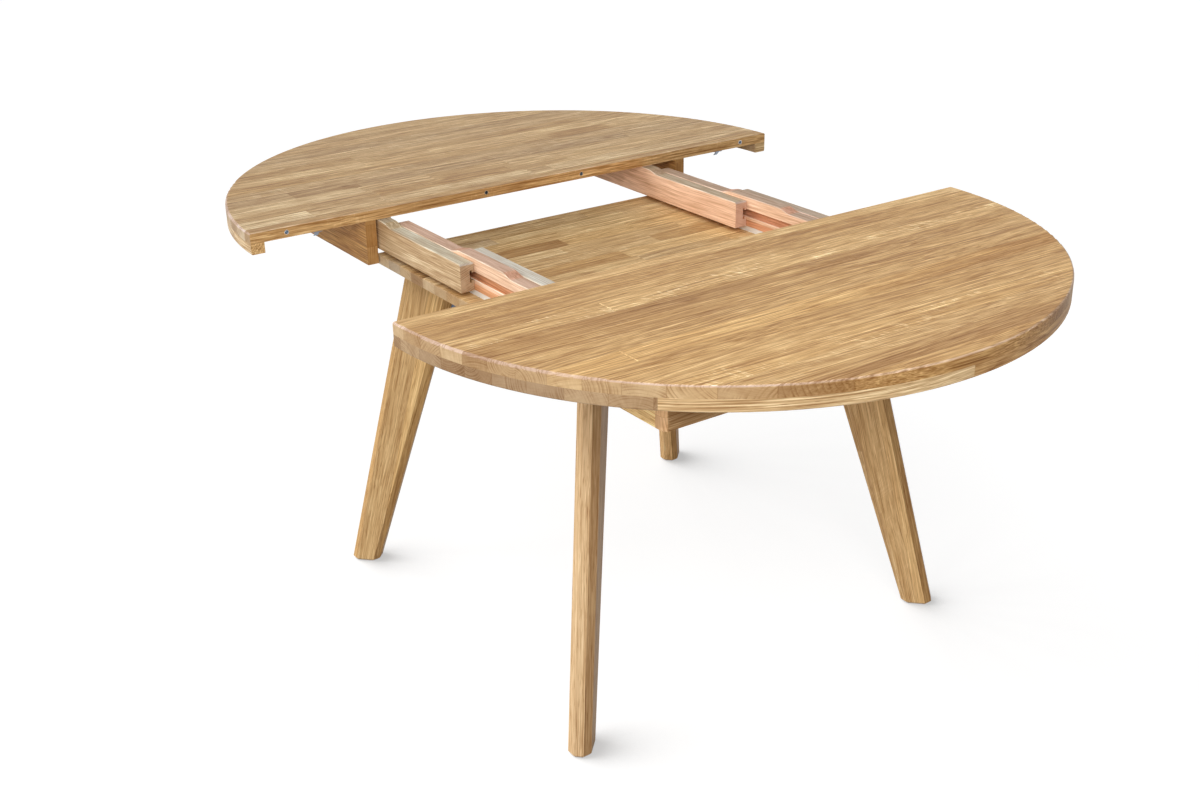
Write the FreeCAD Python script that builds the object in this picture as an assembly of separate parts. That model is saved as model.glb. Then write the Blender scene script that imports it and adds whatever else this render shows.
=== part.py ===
import FreeCAD, Part
import math
import os

# Round extending table, drawn open without its leaf. Millimetres, +Z up.
# +X is the slide direction: the near half travels towards +X, the far half towards -X.
# The origin is on the floor, under the middle of the table as it stands in this file.

# ---------------------------------------------------------------- driving dimensions
TOP_R = 600.0            # radius of the closed round top
TOP_H = 760.0            # height of the top face above the floor
BOARD_T = 20.0           # thickness of the top boards
TRAVEL_FAR = 325.0       # far half: distance drawn from closed, as it stands here
TRAVEL_NEAR = 220.0      # near half: the same
TRAVEL_MAX = 335.0       # either half: travel at which its slide keys meet
CLOSED_GAP = 0.4         # gap left between the halves when the table is closed

# ---------------------------------------------------------------- top, band and aprons
RIM_ROUND = 4.0          # rounding of the top rim edge
RIM_LOWER_ROUND = 2.5    # rounding of the band's lower edge
SPLIT_EASE = 0.8         # chamfer along the straight edges
BAND_T = 20.0            # rim band below the board
BAND_W = 26.0
BAND_PIECES = 4          # butt-jointed arcs in each half's band
APRON_T = 22.0
APRON_H = 85.0
APRON_OUT = 375.0        # outer face of the aprons, from the middle of the closed table
APRON_ROUND = 11.0       # upright outer corners

# ---------------------------------------------------------------- base panel, legs, brackets
PANEL_T = 18.0
PANEL_DROP = 3.0         # the panel's underside below the aprons'
PANEL_CLEAR = 3.0        # to the inside of the side aprons
PANEL_END_CLEAR = 13.0   # to the inside of the end aprons, closed
PANEL_CHAMFER = 1.2
LEG_T = 40.0             # thickness, across the leg's diagonal plane
LEG_CORNER_SET = 60.0    # panel's corner to the leg's outer edge, on the diagonal
LEG_SPLAY = 164.0        # how far the outer edge runs outwards from top to foot
LEG_W_TOP, LEG_W_FOOT = 107.0, 57.5         # width in the diagonal plane
LEG_BEVEL_OUT_TOP, LEG_BEVEL_OUT_FOOT = 12.4, 11.6
LEG_BEVEL_IN_TOP, LEG_BEVEL_IN_FOOT = 16.7, 10.3
FOOT_CHAMFER = 4.5
BRACKET_T = 4.0          # steel plate between leg and panel, and its fin
BRACKET_W = 74.0
BRACKET_ROUND = 8.0
BRACKET_IN_REACH = 49.0  # plate beyond the leg's inner edge
BRACKET_OUT_SET = 4.0    # plate short of the leg's outer edge
FIN_DROP = 88.0          # fin below the plate, let into a slot in the leg
FIN_REVEAL = 8.0         # fin showing at the leg's inner edge
FIN_ROOT_SET = 14.0      # plate's inner end to the fin's root
FIN_ROOT_DROP, FIN_ROOT_REACH = 12.0, 16.0  # the fin's wider root under the plate
FIN_COVER = 56.0         # wood left outside the fin, at the top of the leg
CROSS_PIN_R = 3.0        # pins across leg and fin
CROSS_PIN_SET = 20.0     # their distance from the leg's inner edge
CROSS_PIN_DROPS = (28.0, 72.0)
CROSS_PIN_SUNK = 0.5     # pin ends below the leg's faces

# ---------------------------------------------------------------- telescopic runners
RUN_T = 27.0             # thickness of every runner member
RUN_GAP = 1.0            # sliding gap between neighbouring members
RUN_CLEAR = 5.0          # outermost member to the side apron
RUN_LOW = 8.0            # lowered top of a runner, below the boards
RUN_HIGH = 1.6           # raised top of a runner, below the other half's board
RAMP_L = 38.0            # ramp between the two, level at both ends
RUN_EASE = 1.2           # chamfer along the open top edges of a runner
SPACER_T = 11.0          # strips that lift the fixed members off the panel
SPACER_W = 24.0
SPACER_SHORT = 6.0       # spacer end to fixed member's end
FIXED_SET = 30.0         # fixed member's end to the panel's end
FIXED_RAISED = 68.0      # half length of its raised middle
MOVE_END_CLEAR = 8.0     # moving member's inner end to the end apron
MOVE_SHORT = 5.0         # closed: free end short of the fixed member's end
MOVE_RAISED = 18.0       # raised length beyond the straight edge
BOARD_SET = 1.0          # straight edge to the face that meets the board
END_CHAMFER = 3.0

# T-slot in every sliding face, with H-shaped steel keys running in it
SLOT_UP = 26.0           # middle of the slot above the member's underside
SLOT_MOUTH = 13.8
SLOT_EASE = 0.8          # chamfer along the mouth
SLOT_LIP = 4.5
SLOT_BACK_H = 22.6       # height of the undercut
SLOT_BACK_D = 4.0        # depth of the undercut behind the lip
KEY_WEB_H = 12.6
KEY_FLANGE_H = 21.2
KEY_SIDE_CLEAR = 0.5     # key flange to the slot's lip and floor, sliding side
KEY_MOVE_L = 60.0        # key on the free end of a moving member
KEY_MOVE_SET = 32.0      # that end to the key
KEY_FIXED_SET = 10.0     # fixed member's end to its key
KEY_STOP_CLEAR = 0.5     # left between the keys at the end of the stated travel

# ---------------------------------------------------------------- small hardware
SOCKET_MID, SOCKET_EDGE = 112.0, 70.0       # from the middle; from the rim
SOCKET_BORE_R, SOCKET_OUT_R = 3.5, 4.2
SOCKET_L, SOCKET_FLOOR = 26.0, 1.5
DRILL_POINT = 3.0        # conical end of the hole drilled for a sleeve
PIN_NOSE_R, PIN_PROUD, PIN_CHAMFER = 3.1, 10.0, 1.4
PIN_SET_R, PIN_SET = 4.0, 22.0              # thicker end, let into the board
CLIP_EDGE = 130.0        # leaf clip from the rim
CLIP_W, CLIP_L, CLIP_T = 18.0, 34.0, 1.6
TONGUE_W, TONGUE_DROP = 8.0, 9.0            # tongue of the clip, bent down and back
TONGUE_ROOT, TONGUE_TIP = 2.0, 11.0         # its distance from the straight edge
CLIP_SCREW_SET = (13.0, 26.0)
WOOD_GAUGE = (2.0, 4.0)                     # screw shank and head radii
KEY_GAUGE = (1.6, 3.1)
KEY_SCREW_END = 13.0     # screw from the key's end
KEY_SCREW_BITE = 5.5     # length in the wood behind the slot
RUNNER_SCREW_SET = (40.0, 170.0, 300.0)     # from the straight edge
RUNNER_SCREW_SINK, RUNNER_SCREW_BITE = 8.0, 11.0
PANEL_SCREW_SPAN = 220.0
PANEL_SCREW_BITE = 22.0
BRACKET_SCREW_END, BRACKET_SCREW_SIDE = 18.0, 9.0
SCREW_COVER = 5.0        # wood left over a screw's tip

OVER = 1.0               # how far cutters run past what they cut

# ---------------------------------------------------------------- derived places
BOARD_Z = TOP_H - BOARD_T
BOARD_MID_Z = BOARD_Z + BOARD_T / 2
APRON_Z = BOARD_Z - APRON_H
APRON_IN = APRON_OUT - APRON_T
PANEL_Z = APRON_Z - PANEL_DROP
PANEL_TOP = PANEL_Z + PANEL_T
PANEL_HX = APRON_IN - PANEL_END_CLEAR
PANEL_HY = APRON_IN - PANEL_CLEAR
LEG_OUT_TOP = math.hypot(PANEL_HX, PANEL_HY) - LEG_CORNER_SET   # outer edge, from the base centre
LEG_OUT_FOOT = LEG_OUT_TOP + LEG_SPLAY
LEG_IN_TOP = LEG_OUT_TOP - LEG_W_TOP                            # inner edge
LEG_IN_FOOT = LEG_OUT_FOOT - LEG_W_FOOT
BRACKET_Z = PANEL_Z - BRACKET_T
BRACKET_IN = LEG_IN_TOP - BRACKET_IN_REACH
BRACKET_OUT = LEG_OUT_TOP - BRACKET_OUT_SET
RUN_Z = PANEL_TOP + SPACER_T                # underside of every runner member
RUN_LOW_Z = BOARD_Z - RUN_LOW
RUN_HIGH_Z = BOARD_Z - RUN_HIGH
PITCH = RUN_T + RUN_GAP
FIXED_MID = APRON_IN - RUN_CLEAR - RUN_T / 2 - PITCH
FIXED_HALF = PANEL_HX - FIXED_SET
MOVE_IN = APRON_IN - MOVE_END_CLEAR         # moving member: length under its own half
MOVE_OUT = FIXED_HALF - MOVE_SHORT          # and beyond its own straight edge
SLOT_Z = RUN_Z + SLOT_UP
SLOT_D = SLOT_LIP + SLOT_BACK_D
KEY_FIXED_OUT = FIXED_HALF - KEY_FIXED_SET
# inner end of a fixed key, which the key on the moving member meets at full travel
KEY_FIXED_IN = TRAVEL_MAX + CLOSED_GAP / 2 + KEY_STOP_CLEAR - MOVE_OUT + KEY_MOVE_SET + KEY_MOVE_L
SOCKET_Y = (SOCKET_MID, TOP_R - SOCKET_EDGE)
CLIP_Y = TOP_R - CLIP_EDGE
CLIP_Z = BOARD_Z - CLIP_T
BASE_X = (TRAVEL_FAR - TRAVEL_NEAR) / 2               # base centre, from the origin
FAR_X = BASE_X - TRAVEL_FAR - CLOSED_GAP / 2          # straight edge of the far half
NEAR_X = BASE_X + TRAVEL_NEAR + CLOSED_GAP / 2        # straight edge of the near half

V = FreeCAD.Vector
UP = V(0, 0, 1)
CENTRE = V(0, 0, 0)


# ---------------------------------------------------------------- shapes used throughout
def box(x0, x1, y0, y1, z0, z1):
    return Part.makeBox(x1 - x0, y1 - y0, z1 - z0, V(x0, y0, z0))


def prism(points, sweep):
    """Solid from a closed run of points, swept along a vector."""
    return Part.Face(Part.makePolygon(points + points[:1])).extrude(sweep)


def fuse_all(shapes):
    return shapes[0].fuse(shapes[1:]).removeSplitter()


def cut_all(shape, tools):
    return shape.cut(Part.makeCompound(tools))


def turn(shape, degrees):
    """Copy of a shape, turned about the upright axis through the centre."""
    turned = shape.copy()
    turned.rotate(CENTRE, UP, degrees)
    return turned


def edges_where(shape, test):
    return [e for e in shape.Edges if test(e.BoundBox)]


def screws(places, direction, length, gauge):
    """Countersunk screws; each place is the centre of a flat head face."""
    shank_r, head_r = gauge
    head_h = head_r - shank_r
    made = []
    for place in places:
        head = Part.makeCone(head_r, shank_r, head_h, place, direction)
        shank = Part.makeCylinder(shank_r, length - head_h, place + direction * head_h, direction)
        made.append(fuse_all([head, shank]))
    return made


# ---------------------------------------------------------------- half tops, as the far half
# Every piece of a half is drawn with its straight edge at X = 0 and its rim towards -X.
def rim_arc(r0, z0, height, low_round, high_round, start, sweep):
    """Ring sector about Z with rounded outer edges, turned from its profile."""
    z1 = z0 + height
    k = 1 - math.sqrt(0.5)                    # middle of a quarter round
    low = [V(TOP_R - low_round, 0, z0), V(TOP_R - low_round * k, 0, z0 + low_round * k),
           V(TOP_R, 0, z0 + low_round)]
    high = [V(TOP_R, 0, z1 - high_round), V(TOP_R - high_round * k, 0, z1 - high_round * k),
            V(TOP_R - high_round, 0, z1)]
    edges = [Part.makeLine(V(r0, 0, z0), low[0])]
    if low_round:
        edges.append(Part.Arc(*low).toShape())
    edges.append(Part.makeLine(low[2], high[0]))
    if high_round:
        edges.append(Part.Arc(*high).toShape())
    edges.append(Part.makeLine(high[2], V(r0, 0, z1)))
    edges.append(Part.makeLine(V(r0, 0, z1), V(r0, 0, z0)))
    return turn(Part.Face(Part.Wire(edges)).revolve(CENTRE, UP, sweep), start)


def top_board():
    board = rim_arc(0, BOARD_Z, BOARD_T, 0, RIM_ROUND, 90, 180)
    y = TOP_R + OVER
    ease = prism([V(OVER, -y, TOP_H + OVER), V(-SPLIT_EASE - OVER, -y, TOP_H + OVER),
                  V(OVER, -y, TOP_H - SPLIT_EASE - OVER)], V(0, 2 * y, 0))
    return board.cut(ease)


def edge_band():
    sweep = 180 / BAND_PIECES
    return Part.makeCompound([
        rim_arc(TOP_R - BAND_W, BOARD_Z - BAND_T, BAND_T, RIM_LOWER_ROUND, 0, 90 + i * sweep, sweep)
        for i in range(BAND_PIECES)])


def side_apron(side):
    y0, y1 = sorted((side * APRON_IN, side * APRON_OUT))
    return box(-APRON_IN, 0, y0, y1, APRON_Z, BOARD_Z)


def end_apron():
    end = box(-APRON_OUT, -APRON_IN, -APRON_OUT, APRON_OUT, APRON_Z, BOARD_Z)
    outer = edges_where(end, lambda b: b.ZLength > APRON_H / 2 and b.XMax < -APRON_OUT + APRON_T / 2)
    return end.makeFillet(APRON_ROUND, outer)


# ---------------------------------------------------------------- runners and keys
def across(x0, x1, y, side, start, stop, height):
    """Box centred on the slot height, from start to stop beyond y towards side (+1 or -1)."""
    y0, y1 = sorted((y + side * start, y + side * stop))
    return box(x0, x1, y0, y1, SLOT_Z - height / 2, SLOT_Z + height / 2)


def t_slot(face_y, inward, reach):
    """Cutter for the T-slot in the face at face_y; inward is +1 or -1 along Y."""
    back = across(-reach, reach, face_y, inward, SLOT_LIP, SLOT_D, SLOT_BACK_H)
    half = SLOT_MOUTH / 2
    lower = [(-OVER, half + SLOT_EASE + OVER), (SLOT_EASE, half), (SLOT_D, half)]
    outline = [(deep, -up) for deep, up in lower] + lower[::-1]
    mouth = prism([V(-reach, face_y + inward * deep, SLOT_Z + up) for deep, up in outline],
                  V(2 * reach, 0, 0))
    return mouth.fuse(back)


def straight(points):
    """Straight runs of an outline through a list of points, each as its two ends."""
    return [list(ends) for ends in zip(points, points[1:])]


def bow(level, end):
    """Curved run of an outline, from a point where it is level to end, as three points of its arc."""
    dx, dz = end[0] - level[0], end[1] - level[1]
    radius = (dx * dx + dz * dz) / (2 * abs(dz))
    half = math.asin(abs(dx) / radius) / 2
    middle = (level[0] + math.copysign(radius * math.sin(half), dx),
              level[1] + math.copysign(radius * (1 - math.cos(half)), dz))
    return [level, middle, end]


def back_to_front(runs):
    return [run[::-1] for run in reversed(runs)]


def free_end(raised, end):
    """Runs of a member's free end, from its underside up to the end of the raised part."""
    high = (raised, RUN_HIGH_Z)
    low = (raised + RAMP_L, RUN_LOW_Z)
    middle = ((high[0] + low[0]) / 2, (high[1] + low[1]) / 2)
    lower = straight([(end, RUN_Z), (end, RUN_LOW_Z - END_CHAMFER), (end - END_CHAMFER, RUN_LOW_Z), low])
    return lower + [bow(low, middle)] + back_to_front([bow(high, middle)])


def member(runs, mid_y, slot_sides):
    """Runner member from the closed runs of its side outline, with a T-slot in each named face."""
    edges = []
    for run in runs:
        points = [V(x, mid_y - RUN_T / 2, z) for x, z in run]
        edges.append(Part.makeLine(*points) if len(points) == 2 else Part.Arc(*points).toShape())
    bar = Part.Face(Part.Wire(edges)).extrude(V(0, RUN_T, 0))
    open_top = edges_where(bar, lambda b: b.XLength > RUN_EASE and b.ZMin > RUN_LOW_Z - OVER
                           and b.ZMax < RUN_HIGH_Z + OVER)
    slots = [t_slot(mid_y + side * RUN_T / 2, -side, MOVE_IN + OVER) for side in slot_sides]
    return cut_all(bar.makeChamfer(RUN_EASE, open_top), slots)


def moving_member(mid_y):
    end = free_end(MOVE_RAISED, MOVE_OUT)
    rest = straight([end[-1][-1], (-BOARD_SET, RUN_HIGH_Z), (-BOARD_SET, BOARD_Z), (-MOVE_IN, BOARD_Z),
                     (-MOVE_IN, RUN_Z), end[0][0]])
    return member(end + rest, mid_y, (1,))


def fixed_member(mid_y):
    right = free_end(FIXED_RAISED, FIXED_HALF)
    left = back_to_front([[(-x, z) for x, z in run] for run in right])
    top = straight([right[-1][-1], left[0][0]])
    underside = straight([left[-1][-1], right[0][0]])
    return member(right + top + left + underside, mid_y, (-1, 1))


def slide_key(gap_y, host_side, x0, x1):
    """H key across a sliding gap, its screws and their holes; host_side is its own member's side."""
    lip = RUN_GAP / 2 + SLOT_LIP
    back = lip + SLOT_BACK_D
    guest_lip = lip + KEY_SIDE_CLEAR
    guest_back = back - KEY_SIDE_CLEAR
    web = across(x0, x1, gap_y, host_side, -guest_lip, lip, KEY_WEB_H)
    host = across(x0, x1, gap_y, host_side, lip, back, KEY_FLANGE_H)
    guest = across(x0, x1, gap_y, -host_side, guest_lip, guest_back, KEY_FLANGE_H)
    places = [V(x, gap_y - host_side * guest_back, SLOT_Z)
              for x in (x0 + KEY_SCREW_END, x1 - KEY_SCREW_END)]
    length = guest_back + back + KEY_SCREW_BITE
    holding = screws(places, V(0, host_side, 0), length, KEY_GAUGE)
    return cut_all(fuse_all([web, host, guest]), holding), holding


def moving_runner(mid_y):
    """Moving member with its slide key: (member, key, key screws, runner screws)."""
    x1 = MOVE_OUT - KEY_MOVE_SET
    key, key_screws = slide_key(mid_y + PITCH / 2, -1, x1 - KEY_MOVE_L, x1)
    web_y = mid_y - SLOT_D / 2                # middle of the wood behind the slot
    sink_z = RUN_Z + RUNNER_SCREW_SINK
    length = BOARD_Z - sink_z + RUNNER_SCREW_BITE
    places = [V(-x, web_y, sink_z) for x in RUNNER_SCREW_SET]
    runner_screws = screws(places, UP, length, WOOD_GAUGE)
    sinks = [Part.makeCylinder(WOOD_GAUGE[1], RUNNER_SCREW_SINK + OVER, V(-x, web_y, RUN_Z - OVER))
             for x in RUNNER_SCREW_SET]
    bar = cut_all(moving_member(mid_y), key_screws + runner_screws + sinks)
    return bar, key, key_screws, runner_screws


def half_parts():
    """The parts that both halves have; first is the -Y side of the far half."""
    parts = {"edge_band": edge_band(), "apron_end": end_apron(),
             "apron_first": side_apron(-1), "apron_second": side_apron(1)}
    small_screws, long_screws = [], []
    for label, fixed_y in (("first", -FIXED_MID), ("second", FIXED_MID)):
        bar, key, key_screws, runner_screws = moving_runner(fixed_y - PITCH)
        parts["runner_" + label] = bar
        parts["slide_key_" + label] = key
        small_screws += key_screws
        long_screws += runner_screws
    parts["key_screws"] = Part.makeCompound(small_screws)
    parts["runner_screws"] = Part.makeCompound(long_screws)
    parts["board"] = cut_all(top_board(), long_screws)
    return parts


# ---------------------------------------------------------------- hardware of the straight edges
def edge_places():
    return [V(0, side * y, BOARD_MID_Z) for y in SOCKET_Y for side in (-1, 1)]


def pin_sockets():
    """Sleeves in the straight edge that take the pins of the other half or of the leaf.

    Returns the holes drilled for them, each with its drill point, and the sleeves."""
    holes, sleeves = [], []
    inward = V(-1, 0, 0)
    for place in edge_places():
        body = Part.makeCylinder(SOCKET_OUT_R, SOCKET_L, place, inward)
        bore = Part.makeCylinder(SOCKET_BORE_R, SOCKET_L - SOCKET_FLOOR, place, inward)
        point = Part.makeCone(SOCKET_OUT_R, 0, DRILL_POINT, place + inward * SOCKET_L, inward)
        holes.append(fuse_all([body, point]))
        sleeves.append(body.cut(bore))
    return holes, sleeves


def dowel_pins():
    """Pins that stand out of the straight edge, and the thicker ends let into the board."""
    ends, pins = [], []
    for place in edge_places():
        end = Part.makeCylinder(PIN_SET_R, PIN_SET, place, V(-1, 0, 0))
        nose = Part.makeCylinder(PIN_NOSE_R, PIN_PROUD, place, V(1, 0, 0))
        tip = edges_where(nose, lambda b: b.XMin > PIN_PROUD / 2)
        ends.append(end)
        pins.append(fuse_all([end, nose.makeChamfer(PIN_CHAMFER, tip)]))
    return ends, pins


def leaf_clip(y):
    """Bent steel clip under the board at the straight edge, and its screws."""
    plate = box(-CLIP_L, 0, y - CLIP_W / 2, y + CLIP_W / 2, CLIP_Z, BOARD_Z)
    low_z = CLIP_Z - TONGUE_DROP
    side = y - TONGUE_W / 2
    slant = CLIP_T * math.hypot(TONGUE_TIP - TONGUE_ROOT, TONGUE_DROP) / TONGUE_DROP    # level thickness
    tongue = prism([V(-TONGUE_ROOT, side, CLIP_Z), V(-TONGUE_TIP, side, low_z),
                    V(-TONGUE_TIP - slant, side, low_z), V(-TONGUE_ROOT - slant, side, CLIP_Z)],
                   V(0, TONGUE_W, 0))
    places = [V(-x, y, CLIP_Z) for x in CLIP_SCREW_SET]
    holding = screws(places, UP, CLIP_T + BOARD_T - 2 * SCREW_COVER, KEY_GAUGE)
    return cut_all(fuse_all([plate, tongue]), holding), holding


def far_half():
    parts = half_parts()
    holes, sleeves = pin_sockets()
    clip_screws = []
    for label, y in (("left", -CLIP_Y), ("right", CLIP_Y)):
        parts["leaf_clip_" + label], holding = leaf_clip(y)
        clip_screws += holding
    parts["leaf_clip_screws"] = Part.makeCompound(clip_screws)
    parts["pin_sockets"] = Part.makeCompound(sleeves)
    parts["board"] = cut_all(parts["board"], holes + clip_screws)
    return parts


def near_half():
    parts = half_parts()
    ends, pins = dowel_pins()
    parts["dowel_pins"] = Part.makeCompound(pins)
    parts["board"] = cut_all(parts["board"], ends)
    return parts


# ---------------------------------------------------------------- legs and brackets
# A leg is drawn on the +X axis of its own diagonal plane, then turned to its corner.
def between(top, foot, z):
    """Value at height z of a size that runs evenly from the foot to the top of a leg."""
    return foot + (top - foot) * z / PANEL_Z


def leg_ring(z, inset):
    """Eight-sided section of a leg at height z, drawn in all round by inset."""
    out = between(LEG_OUT_TOP, LEG_OUT_FOOT, z) - inset
    inn = between(LEG_IN_TOP, LEG_IN_FOOT, z) + inset
    half = LEG_T / 2 - inset
    slim = inset * (2 - math.sqrt(2))         # what an even inset takes off a 45-degree bevel
    b_out = between(LEG_BEVEL_OUT_TOP, LEG_BEVEL_OUT_FOOT, z) - slim
    b_in = between(LEG_BEVEL_IN_TOP, LEG_BEVEL_IN_FOOT, z) - slim
    side = [(out, half - b_out), (out - b_out, half), (inn + b_in, half), (inn, half - b_in)]
    return [V(r, t, z) for r, t in side + [(r, -t) for r, t in reversed(side)]]


def skin(rings):
    """Solid of flat faces between matching rings of points, lowest first."""
    faces = [Part.Face(Part.makePolygon(ring + ring[:1])) for ring in (rings[0], rings[-1])]
    for low, high in zip(rings, rings[1:]):
        for i, point in enumerate(low):
            after = (i + 1) % len(low)
            quad = [point, low[after], high[after], high[i], point]
            faces.append(Part.Face(Part.makePolygon(quad)))
    solid = Part.makeSolid(Part.makeShell(faces))
    if solid.Volume < 0:
        solid.reverse()
    return solid


def bracket_parts():
    """Plate under the panel, and its fin that enters the leg's inner edge."""
    plate = box(BRACKET_IN, BRACKET_OUT, -BRACKET_W / 2, BRACKET_W / 2, BRACKET_Z, PANEL_Z)
    upright = edges_where(plate, lambda b: b.ZLength > BRACKET_T / 2)
    low_z = BRACKET_Z - FIN_DROP
    root_z = BRACKET_Z - FIN_ROOT_DROP
    end = LEG_OUT_TOP - FIN_COVER
    outline = [(BRACKET_IN + FIN_ROOT_SET, BRACKET_Z), (end, BRACKET_Z), (end, low_z),
               (between(LEG_IN_TOP, LEG_IN_FOOT, low_z) - FIN_REVEAL, low_z),
               (between(LEG_IN_TOP, LEG_IN_FOOT, root_z) - FIN_REVEAL - FIN_ROOT_REACH, root_z)]
    fin = prism([V(r, -BRACKET_T / 2, z) for r, z in outline], V(0, BRACKET_T, 0))
    return plate.makeFillet(BRACKET_ROUND, upright), fin


def leg_set():
    """One leg, its bracket, the screws into the panel and the pins across the fin."""
    plate, fin = bracket_parts()
    screw_r = (BRACKET_IN + BRACKET_SCREW_END, BRACKET_OUT - BRACKET_SCREW_END)
    screw_t = BRACKET_W / 2 - BRACKET_SCREW_SIDE
    places = [V(r, side * screw_t, BRACKET_Z) for r in screw_r for side in (-1, 1)]
    holding = screws(places, UP, BRACKET_T + PANEL_T - SCREW_COVER, WOOD_GAUGE)
    pins = []
    for drop in CROSS_PIN_DROPS:
        z = PANEL_Z - drop
        r = between(LEG_IN_TOP, LEG_IN_FOOT, z) + CROSS_PIN_SET
        length = LEG_T - 2 * CROSS_PIN_SUNK
        pins.append(Part.makeCylinder(CROSS_PIN_R, length, V(r, -length / 2, z), V(0, 1, 0)))
    blank = skin([leg_ring(0, FOOT_CHAMFER), leg_ring(FOOT_CHAMFER, 0), leg_ring(BRACKET_Z, 0)])
    leg = cut_all(blank, [fin] + pins)
    bracket = cut_all(fuse_all([plate, fin]), holding + pins)
    return leg, bracket, holding, pins


# ---------------------------------------------------------------- base
def base_panel():
    panel = box(-PANEL_HX, PANEL_HX, -PANEL_HY, PANEL_HY, PANEL_Z, PANEL_TOP)
    upper = edges_where(panel, lambda b: b.ZMin > PANEL_TOP - PANEL_T / 2)
    return panel.makeChamfer(PANEL_CHAMFER, upper)


def fixed_runner(label, mid_y):
    """Fixed member on its spacer, with the stop keys of both halves: parts, key and panel screws."""
    places = [V(x, mid_y, PANEL_Z) for x in (-PANEL_SCREW_SPAN, 0, PANEL_SCREW_SPAN)]
    long_screws = screws(places, UP, PANEL_T + SPACER_T + PANEL_SCREW_BITE, WOOD_GAUGE)
    reach = FIXED_HALF - SPACER_SHORT
    spacer = box(-reach, reach, mid_y - SPACER_W / 2, mid_y + SPACER_W / 2, PANEL_TOP, RUN_Z)
    parts = {"spacer_" + label: cut_all(spacer, long_screws)}
    small_screws = []
    # the far half's key crosses the gap on the -Y side, the near half's the one on the +Y side
    for half, side in (("far", -1), ("near", 1)):
        x0, x1 = sorted((side * KEY_FIXED_OUT, side * KEY_FIXED_IN))
        key, holding = slide_key(mid_y + side * PITCH / 2, -side, x0, x1)
        parts["stop_key_%s_%s" % (half, label)] = key
        small_screws += holding
    parts["fixed_runner_" + label] = cut_all(fixed_member(mid_y), long_screws + small_screws)
    return parts, small_screws, long_screws


def base():
    parts, key_screws, panel_screws = {}, [], []
    for label, mid_y in (("left", -FIXED_MID), ("right", FIXED_MID)):
        runner, small, long_ones = fixed_runner(label, mid_y)
        parts.update(runner)
        key_screws += small
        panel_screws += long_ones
    leg, bracket, holding, pins = leg_set()
    bracket_screws, cross_pins = [], []
    for corner, degrees in (("near_right", 45), ("far_right", 135),
                            ("far_left", 225), ("near_left", 315)):
        parts["leg_" + corner] = turn(leg, degrees)
        parts["leg_bracket_" + corner] = turn(bracket, degrees)
        bracket_screws += [turn(s, degrees) for s in holding]
        cross_pins += [turn(p, degrees) for p in pins]
    parts["stop_key_screws"] = Part.makeCompound(key_screws)
    parts["panel_screws"] = Part.makeCompound(panel_screws)
    parts["bracket_screws"] = Part.makeCompound(bracket_screws)
    parts["bracket_pins"] = Part.makeCompound(cross_pins)
    parts["base_panel"] = cut_all(base_panel(), panel_screws + bracket_screws)
    return parts


# ---------------------------------------------------------------- assembly
def put(prefix, parts, x, degrees=0, labels=None):
    """Write each part to its file, turned and moved to its place on the table."""
    for name, shape in parts.items():
        for word, side in (labels or {}).items():
            name = name.replace(word, side)
        placed = turn(shape, degrees)
        placed.translate(V(x, 0, 0))
        placed.exportStep("parts/%s%s.step" % (prefix, name))


os.makedirs("parts", exist_ok=True)
put("", base(), BASE_X)
put("far_", far_half(), FAR_X, 0, {"first": "left", "second": "right"})
# the near half is the same half turned about, so its first side is on the right
put("near_", near_half(), NEAR_X, 180, {"first": "right", "second": "left"})
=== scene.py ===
import math

import bmesh
import bpy
from mathutils import Matrix, Vector


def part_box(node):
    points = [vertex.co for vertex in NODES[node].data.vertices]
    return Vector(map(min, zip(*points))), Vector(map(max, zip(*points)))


# The round extending table's finish and studio. Its solids come from the frame as they are; each
# gets a procedural material here. Metres, +X is the slide direction and +Z is up.

# ------------------------------------------------------------------ frame
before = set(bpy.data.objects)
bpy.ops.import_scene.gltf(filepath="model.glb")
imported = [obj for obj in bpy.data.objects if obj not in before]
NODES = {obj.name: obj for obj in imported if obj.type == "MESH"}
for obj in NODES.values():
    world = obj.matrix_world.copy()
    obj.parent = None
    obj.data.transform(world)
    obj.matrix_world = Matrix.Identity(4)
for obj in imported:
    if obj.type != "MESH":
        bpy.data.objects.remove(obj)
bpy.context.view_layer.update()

X, Y, Z = Vector((1, 0, 0)), Vector((0, 1, 0)), Vector((0, 0, 1))


def middle(node):
    low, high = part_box(node)
    return (low + high) / 2


BASE_X = middle("base_panel").x
FAR_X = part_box("far_board")[1].x          # straight edges of the two halves
NEAR_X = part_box("near_board")[0].x
BOARD_Z = middle("near_board").z
BAND_Z = middle("near_edge_band").z
PANEL_Z = middle("base_panel").z


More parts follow.
